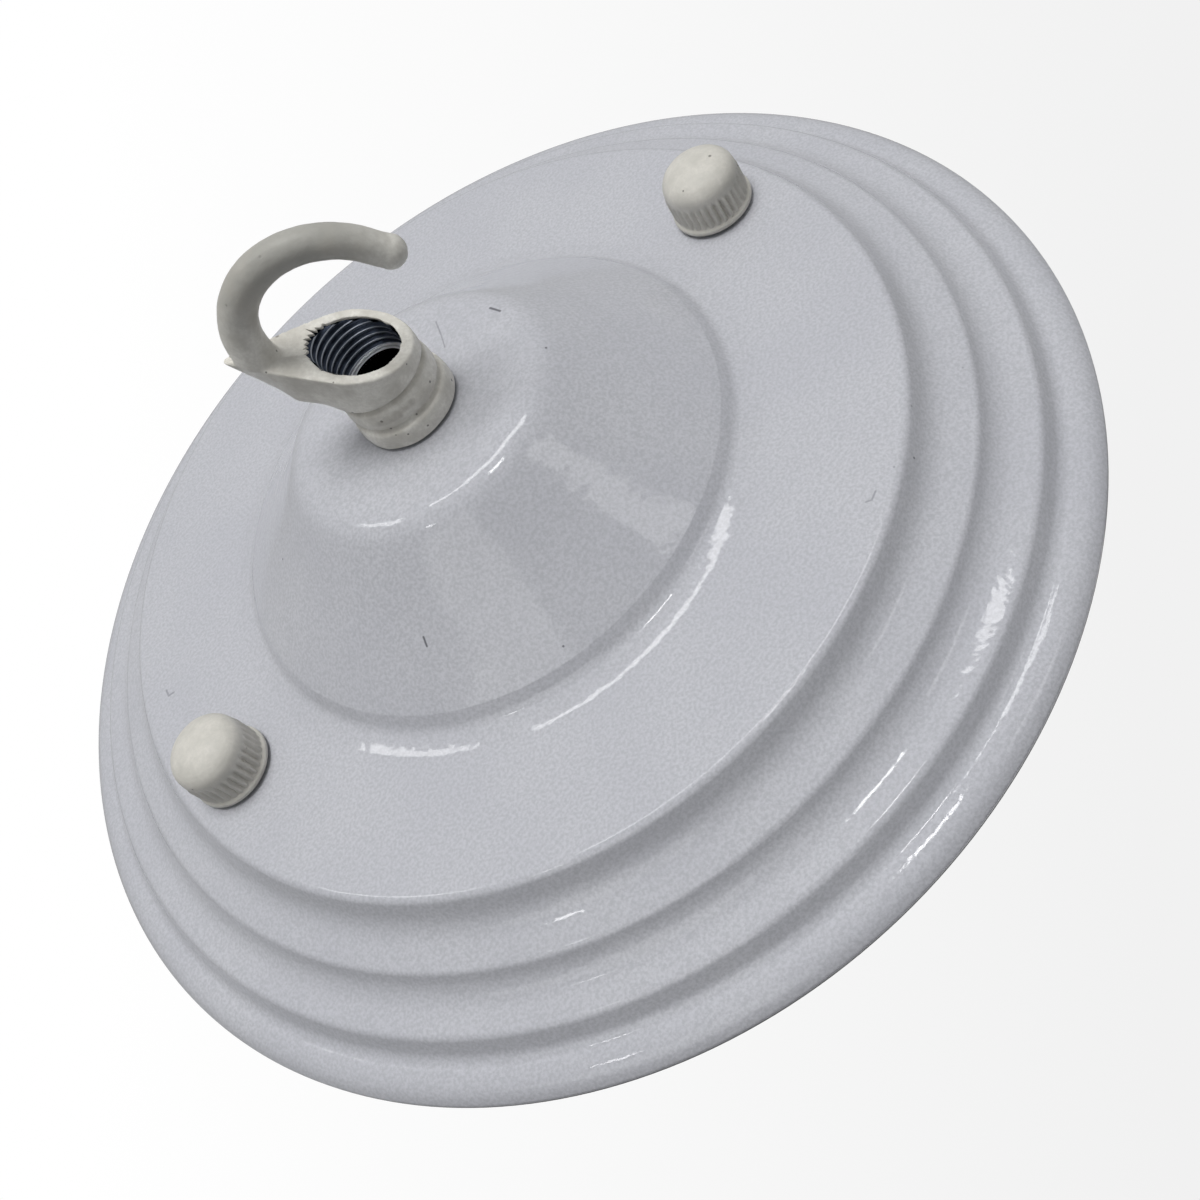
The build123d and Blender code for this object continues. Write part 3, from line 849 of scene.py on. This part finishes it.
    def specks(self, scale, size, share):
        """Scattered round specks: cells per metre, radius in cells, and the share that shows."""
        node = self.nodes.new("ShaderNodeTexVoronoi")
        node.inputs["Scale"].default_value = scale
        self.links.new(self.coords, node.inputs["Vector"])
        near = self.span(node.outputs["Distance"], size * 0.5, size, 1.0, 0.0)
        chosen = self.nodes.new("ShaderNodeSeparateColor")
        self.links.new(node.outputs["Color"], chosen.inputs[0])
        return self.math("MULTIPLY", near, self.math("LESS_THAN", chosen.outputs[0], share))

    def base_color(self):
        """What the shader's base colour is linked to so far."""
        return self.shader.inputs["Base Color"].links[0].from_socket

    def set(self, **values):
        """Writes values on the shader's own sockets."""
        for name, value in values.items():
            self.link(value, self.shader.inputs[name.replace("_", " ")])


def canopy_paint():
    """Sprayed gloss paint on pressed steel: mottling, orange peel, fine grain and small marks."""
    f = Finish("gloss_paint")
    cloud = f.noise(60, 3.0, 0.5)
    grain = f.noise(2600, 2.0, 0.6)
    tint = f.ramp(cloud, (0.35, srgb(188, 189, 195)), (0.65, srgb(193, 194, 199)))
    color = f.mix(f.span(grain, 0.3, 0.7, 0.0, 0.7), tint, srgb(168, 169, 174))
    dark_marks = f.most(f.marks(DARK_STROKES, DARK_SPOTS) + [f.specks(55, 0.012, 0.5)])
    faint_marks = f.most(f.marks(FAINT_STROKES, FAINT_SPOTS))
    color = f.mix(f.math("MULTIPLY", faint_marks, 0.55), color, srgb(120, 121, 126))
    color = f.mix(f.math("MULTIPLY", dark_marks, 0.85), color, srgb(84, 84, 90))
    orange_peel = f.bump(f.noise(620, 1.5, 0.5), 0.038 * MM)
    f.set(
        Base_Color=color,
        Normal=f.bump(grain, 0.02 * MM, orange_peel),
        Roughness=0.62,
        Specular_IOR_Level=0.25,
        Coat_Weight=1.0,
        Coat_Roughness=0.07,
        Coat_Normal=orange_peel,
    )
    return f.material


def cast_paint(name, light, dark, pits=()):
    """Satin paint on a rough casting: blotches, fine grain, scattered and placed pits."""
    f = Finish(name)
    blotch = f.noise(330, 4.0, 0.62)
    grain = f.noise(2300, 3.0, 0.6)
    color = f.ramp(blotch, (0.34, dark), (0.62, light))
    color = f.mix(f.span(grain, 0.35, 0.65, 0.0, 0.4), color, dark)
    scattered = [f.specks(420, 0.13, 0.1), f.specks(900, 0.16, 0.06)]
    pit = f.most(scattered + f.marks((), pits))
    color = f.mix(f.math("MULTIPLY", pit, 0.8), color, srgb(88, 85, 80))
    pitted = f.bump(pit, -0.035 * MM)
    uneven = f.bump(blotch, 0.11 * MM, pitted)
    fine = f.bump(grain, 0.03 * MM, uneven)
    f.set(Base_Color=color, Normal=fine, Roughness=0.42, Specular_IOR_Level=0.5)
    return f


def hook_paint():
    """The casting's paint, with painted shade on the curl and a painted contact shadow where the
    boss meets the canopy.
    """
    f = cast_paint("hook_satin", srgb(238, 236, 228), srgb(205, 202, 193), HOOK_PITS)
    color = f.base_color()
    # Painted shade: the curl is darkened towards its lowest point
    curl = f.span(f.axis(2), -59 * MM, -50 * MM, 1.0, 0.0)
    color = f.mix(f.math("MULTIPLY", curl, 0.85), color, srgb(150, 149, 143))
    # Painted contact shadow: a near-black ring where the boss meets the canopy
    boss_contact_shadow = f.span(f.axis(2), -CROWN_DEPTH - 0.44 * MM, -CROWN_DEPTH - 0.32 * MM)
    color = f.mix(f.math("MULTIPLY", boss_contact_shadow, 0.9), color, srgb(40, 40, 42))
    worn = f.span(f.noise(420, 2.0, 0.5), 0.3, 0.7)
    stains = f.math("MULTIPLY", f.most(f.marks(HOOK_STAINS, ())), worn)
    color = f.mix(f.math("MULTIPLY", stains, 0.5), color, srgb(140, 134, 125))
    cloud = f.span(f.noise(150, 3.0, 0.6), 0.46, 0.64, 0.0, 0.3)
    color = f.mix(cloud, color, srgb(176, 171, 161))
    # Painted shade along the neck groove, broken up by noise
    from_neck = f.math("ABSOLUTE", f.math("ADD", f.axis(2), CROWN_DEPTH + NECK_DEPTH * MM))
    neck = f.span(from_neck, 0.1 * MM, 0.5 * MM, 0.3, 0.0)
    neck_groove_shade = f.math("MULTIPLY", neck, f.span(f.noise(300, 2.0), 0.35, 0.6))
    f.set(Base_Color=f.mix(neck_groove_shade, color, srgb(120, 116, 106)))
    return f.material


def metal(name, light, dark, roughness, scale, stretch=None):
    """Plated or turned metal, faintly cloudy, with rolling lines if stretched."""
    f = Finish(name)
    coords = f.coords
    if stretch is not None:
        coords = f.vector("MULTIPLY", f.coords, stretch)
    cloud = f.noise(scale, 4.0, 0.6, coords)
    lines = f.noise(scale * 5, 3.0, 0.6, coords)
    tint = f.ramp(cloud, (0.35, dark), (0.65, light))
    color = f.mix(f.span(lines, 0.3, 0.7, 0.0, 0.35), tint, dark)
    f.set(Base_Color=color, Normal=f.bump(lines, 0.012 * MM), Metallic=1.0, Roughness=roughness)
    return f


def nipple_metal():
    """Bright zinc outside, and near-black painted shade in the bore."""
    f = metal("nipple_zinc", srgb(236, 238, 242), srgb(206, 210, 217), 0.3, 350)
    # Painted shade: the bore, inside the nipple's inner radius, is near black
    inside = f.span(f.radius(), 3.77 * MM, 3.8 * MM, 1.0, 0.0)
    f.set(Base_Color=f.mix(inside, f.base_color(), srgb(12, 12, 14)))
    return f.material


def thread_metal():
    """Dark, bare thread in the hook, with a painted highlight in light colour on its crests."""
    f = metal("bare_thread", srgb(84, 92, 108), srgb(50, 56, 68), 0.33, 600)
    # Painted highlight: the crests are coloured light
    crest = f.span(f.radius(), THREAD_MINOR + 0.03 * MM, THREAD_MINOR + 0.1 * MM, 1.0, 0.0)
    f.set(Base_Color=f.mix(crest, f.base_color(), srgb(196, 202, 212)))
    return f.material


def plastic(name, light, dark, roughness):
    """Moulded plastic with faint clouds and a fine grain."""
    f = Finish(name)
    grain = f.noise(2400, 2.0)
    color = f.ramp(f.noise(160, 3.0), (0.35, dark), (0.65, light))
    f.set(Base_Color=color, Normal=f.bump(grain, 0.02 * MM), Roughness=roughness)
    return f.material


def shadow_gap():
    """Painted shadow for the gap under the cap nuts: a dark, cloudy finish at their feet."""
    f = Finish("nut_gap_painted_shadow")
    color = f.ramp(f.noise(900), (0.4, srgb(34, 34, 37)), (0.6, srgb(52, 52, 55)))
    f.set(Base_Color=color, Roughness=0.6)
    return f.material


def rim_edge_shade():
    """Painted shade for the canopy's rim edge: a dark, cloudy finish on its last fraction of a
    millimetre.
    """
    f = Finish("rim_edge_shade")
    color = f.ramp(f.noise(500, 3.0), (0.35, srgb(52, 52, 56)), (0.65, srgb(78, 78, 83)))
    f.set(Base_Color=color, Roughness=0.5)
    return f.material


def dress(piece, material):
    """Gives a whole piece one material."""
    piece.data.materials.clear()
    piece.data.materials.append(material)


def dress_nodes(names, material):
    """Gives CAD nodes one material."""
    for name in names:
        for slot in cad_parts[name].material_slots:
            slot.material = material


def toward(azimuth, tilt, distance):
    """A place seen from the canopy's face: azimuth from +X, tilt away from straight down."""
    a, t = math.radians(azimuth), math.radians(tilt)
    return Vector((math.cos(a) * math.sin(t), math.sin(a) * math.sin(t), -math.cos(t))) * distance


def add_area(name, place_at, target, size, power, shines=True):
    """A soft square lamp aimed at a point."""
    data = bpy.data.lights.new(name, "AREA")
    data.energy = power
    data.size = size
    lamp = bpy.data.objects.new(name, data)
    lamp.visible_glossy = shines
    lamp.location = place_at
    lamp.rotation_euler = (Vector(target) - Vector(place_at)).to_track_quat("-Z", "Y").to_euler()
    bpy.context.scene.collection.objects.link(lamp)


def add_tube(name, x, y, length, width, turn, glow):
    """A tube lamp in the plane under the rose that only shows in the gloss."""
    data = bpy.data.lights.new(name, "AREA")
    data.shape = "RECTANGLE"
    data.size = length
    data.size_y = width
    data.energy = glow * math.pi * length * width
    lamp = bpy.data.objects.new(name, data)
    lamp.visible_diffuse = False
    lamp.matrix_world = (
        Matrix.Translation((x, y, -LAMP_DROP))
        @ Matrix.Rotation(math.radians(turn), 4, "Z")
        @ Matrix.Rotation(math.pi, 4, "X")
    )
    bpy.context.scene.collection.objects.link(lamp)


def make_camera():
    """The photograph's camera."""
    data = bpy.data.cameras.new("camera")
    data.lens = CAMERA_LENS
    data.sensor_width = 36.0
    data.clip_start = 0.005
    data.clip_end = 20.0
    camera = bpy.data.objects.new("camera", data)
    axes = Matrix((CAMERA_RIGHT, CAMERA_UP, -Vector(CAMERA_FORWARD))).transposed().to_4x4()
    camera.matrix_world = Matrix.Translation(CAMERA_PLACE) @ axes
    bpy.context.scene.collection.objects.link(camera)
    bpy.context.scene.camera = camera


def make_world():
    """Pale backdrop for camera rays, soft grey light for the rest."""
    world = bpy.data.worlds.new("studio")
    bpy.context.scene.world = world
    world.use_nodes = True
    nodes, links = world.node_tree.nodes, world.node_tree.links
    path = nodes.new("ShaderNodeLightPath")

    def along(direction, low, high, start, end):
        """How far a ray runs along a direction, mapped from low..high to start..end."""
        dot = nodes.new("ShaderNodeVectorMath")
        dot.operation = "DOT_PRODUCT"
        dot.inputs[1].default_value = direction
        links.new(nodes.new("ShaderNodeTexCoord").outputs["Generated"], dot.inputs[0])
        spread = nodes.new("ShaderNodeMapRange")
        for name, number in zip(RANGE_SOCKETS, (low, high, start, end)):
            spread.inputs[name].default_value = number
        links.new(dot.outputs["Value"], spread.inputs["Value"])
        return spread.outputs["Result"]

    def blend(amount, below, above):
        """One background laid over another by an amount."""
        mix = nodes.new("ShaderNodeMixShader")
        links.new(amount, mix.inputs["Fac"])
        links.new(below.outputs[0], mix.inputs[1])
        links.new(above.outputs[0], mix.inputs[2])
        return mix

    ambient = nodes.new("ShaderNodeBackground")
    ambient.inputs["Color"].default_value = (*AMBIENT_COLOR, 1)
    dim, bright = AMBIENT * (1 - AMBIENT_SLOPE), AMBIENT * (1 + AMBIENT_SLOPE)
    links.new(along(AMBIENT_SIDE, -1.0, 1.0, dim, bright), ambient.inputs["Strength"])

    mirror = nodes.new("ShaderNodeBackground")
    mirror.inputs["Strength"].default_value = MIRROR

    backdrop = nodes["Background"]
    ramp = nodes.new("ShaderNodeValToRGB")
    for element, position, level in zip(ramp.color_ramp.elements, (0.05, 1.0), BACKDROP_LEVELS):
        element.position = position
        element.color = srgb(level, level, level)
    across = along(CAMERA_RIGHT, -BACKDROP_REACH, BACKDROP_REACH, 0.0, 1.0)
    links.new(across, ramp.inputs["Fac"])
    links.new(ramp.outputs["Color"], backdrop.inputs["Color"])

    glossy_or_clear = nodes.new("ShaderNodeMath")
    glossy_or_clear.operation = "MAXIMUM"
    links.new(path.outputs["Is Glossy Ray"], glossy_or_clear.inputs[0])
    links.new(path.outputs["Is Transmission Ray"], glossy_or_clear.inputs[1])
    unseen = blend(glossy_or_clear.outputs[0], ambient, mirror)
    everything = blend(path.outputs["Is Camera Ray"], unseen, backdrop)
    links.new(everything.outputs[0], nodes["World Output"].inputs["Surface"])


def make_floor():
    """A plain pale floor far below the rose."""
    r, z = FLOOR_REACH, -FLOOR_DROP
    corners = [(-r, -r, z), (r, -r, z), (r, r, z), (-r, r, z)]
    floor = mesh_object("floor", corners, [(0, 1, 2, 3)], smooth=False)
    f = Finish("floor")
    color = f.ramp(f.noise(2.0), (0.4, srgb(238, 238, 238)), (0.6, srgb(242, 242, 242)))
    f.set(Base_Color=color, Roughness=0.9)
    path = f.nodes.new("ShaderNodeLightPath")
    glow = f.nodes.new("ShaderNodeEmission")
    glow.inputs["Color"].default_value = srgb(246, 246, 246)
    mix = f.nodes.new("ShaderNodeMixShader")
    f.links.new(path.outputs["Is Camera Ray"], mix.inputs["Fac"])
    f.links.new(f.shader.outputs[0], mix.inputs[1])
    f.links.new(glow.outputs[0], mix.inputs[2])
    f.links.new(mix.outputs[0], f.nodes["Material Output"].inputs["Surface"])
    dress(floor, f.material)


def make_lights():
    """A large soft key and a fill for shading, and tube lamps for the lines in the gloss."""
    centre = (0, 0, -15 * MM)
    add_area("key", toward(*KEY_TOWARD), centre, KEY_SIZE, KEY_POWER, shines=False)
    add_area("back_fill", FILL_PLACE, (0, 0, 0), FILL_SIZE, FILL_POWER)
    for tube in TUBES:
        add_tube(*tube)


make_camera()

paint_finish = canopy_paint()
casting_finish = hook_paint()
nut_finish = cast_paint("nut_satin", srgb(208, 205, 197), srgb(190, 188, 180)).material
nut_gap_shadow = shadow_gap()
bare_thread = thread_metal()
bright_nipple = nipple_metal()
worn_edge = metal("worn_edge", srgb(250, 250, 250), srgb(236, 237, 240), 0.5, 350).material
zinc = metal("zinc", srgb(190, 194, 200), srgb(160, 165, 173), 0.3, 260, (0.15, 1.0, 1.0)).material
brass = metal("brass", srgb(214, 180, 110), srgb(188, 150, 84), 0.28, 400).material
block_plastic = plastic("block_plastic", srgb(222, 220, 210), srgb(212, 209, 198), 0.5)

make_canopy(paint_finish, rim_edge_shade())
make_hook(casting_finish, bare_thread)
make_threads(bare_thread, bright_nipple)
make_nipple_rim(worn_edge)
make_cap_nut("knurled_nut_right", "cap_nut_right", "right_cap_nut", 1, nut_finish, nut_gap_shadow)
make_cap_nut("knurled_nut_left", "cap_nut_left", "left_cap_nut", -1, nut_finish, nut_gap_shadow)

dress_nodes(["nipple"], bright_nipple)
dress_nodes(["lock_washer", "nipple_nut", "strap_bracket", "stud_screws"], zinc)
dress_nodes(["stud_lock_nuts", "clamp_screws", "block_screws"], zinc)
dress_nodes(["earth_washer", "earth_screw", "terminal_tubes"], brass)
dress_nodes(["terminal_block"], block_plastic)

make_world()
make_lights()
make_floor()
bpy.context.scene.view_settings.view_transform = "Standard"
